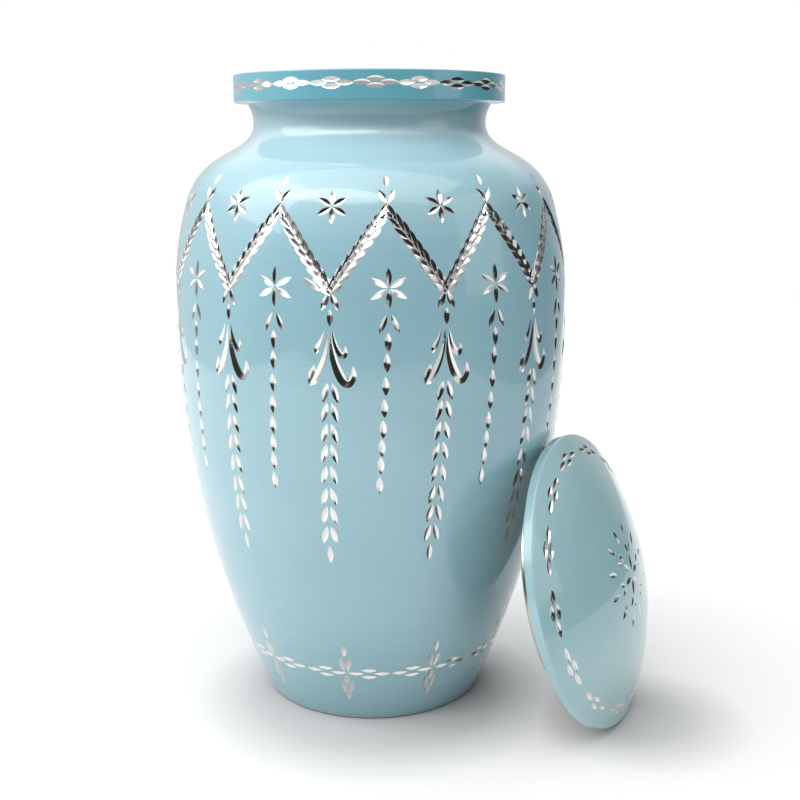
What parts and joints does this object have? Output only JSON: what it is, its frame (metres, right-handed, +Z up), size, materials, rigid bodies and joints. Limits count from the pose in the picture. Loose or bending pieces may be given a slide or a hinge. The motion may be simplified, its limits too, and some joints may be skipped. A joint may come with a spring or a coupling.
{
  "type": "funeral urn",
  "caption": "Adult funeral urn of pale blue enamelled aluminium, bright-cut with garlands, stars, leaf strings and crosses, with its domed screw lid leaning beside it.",
  "frame": {"origin": "centre of the vessel's flat underside, on the floor", "axes": "+Z up along the vessel's axis; the pictured front faces -Y; the lid leans on the +X side"},
  "size_m": [0.1998, 0.172, 0.255],
  "materials": {
    "vessel_enamel": "gloss pale blue enamel over bright aluminium",
    "lid_enamel": "gloss pale blue enamel over bright aluminium"
  },
  "bodies": {
    "root": {"urn_body": "vessel_enamel", "lid": "lid_enamel"}
  },
  "joints": []
}
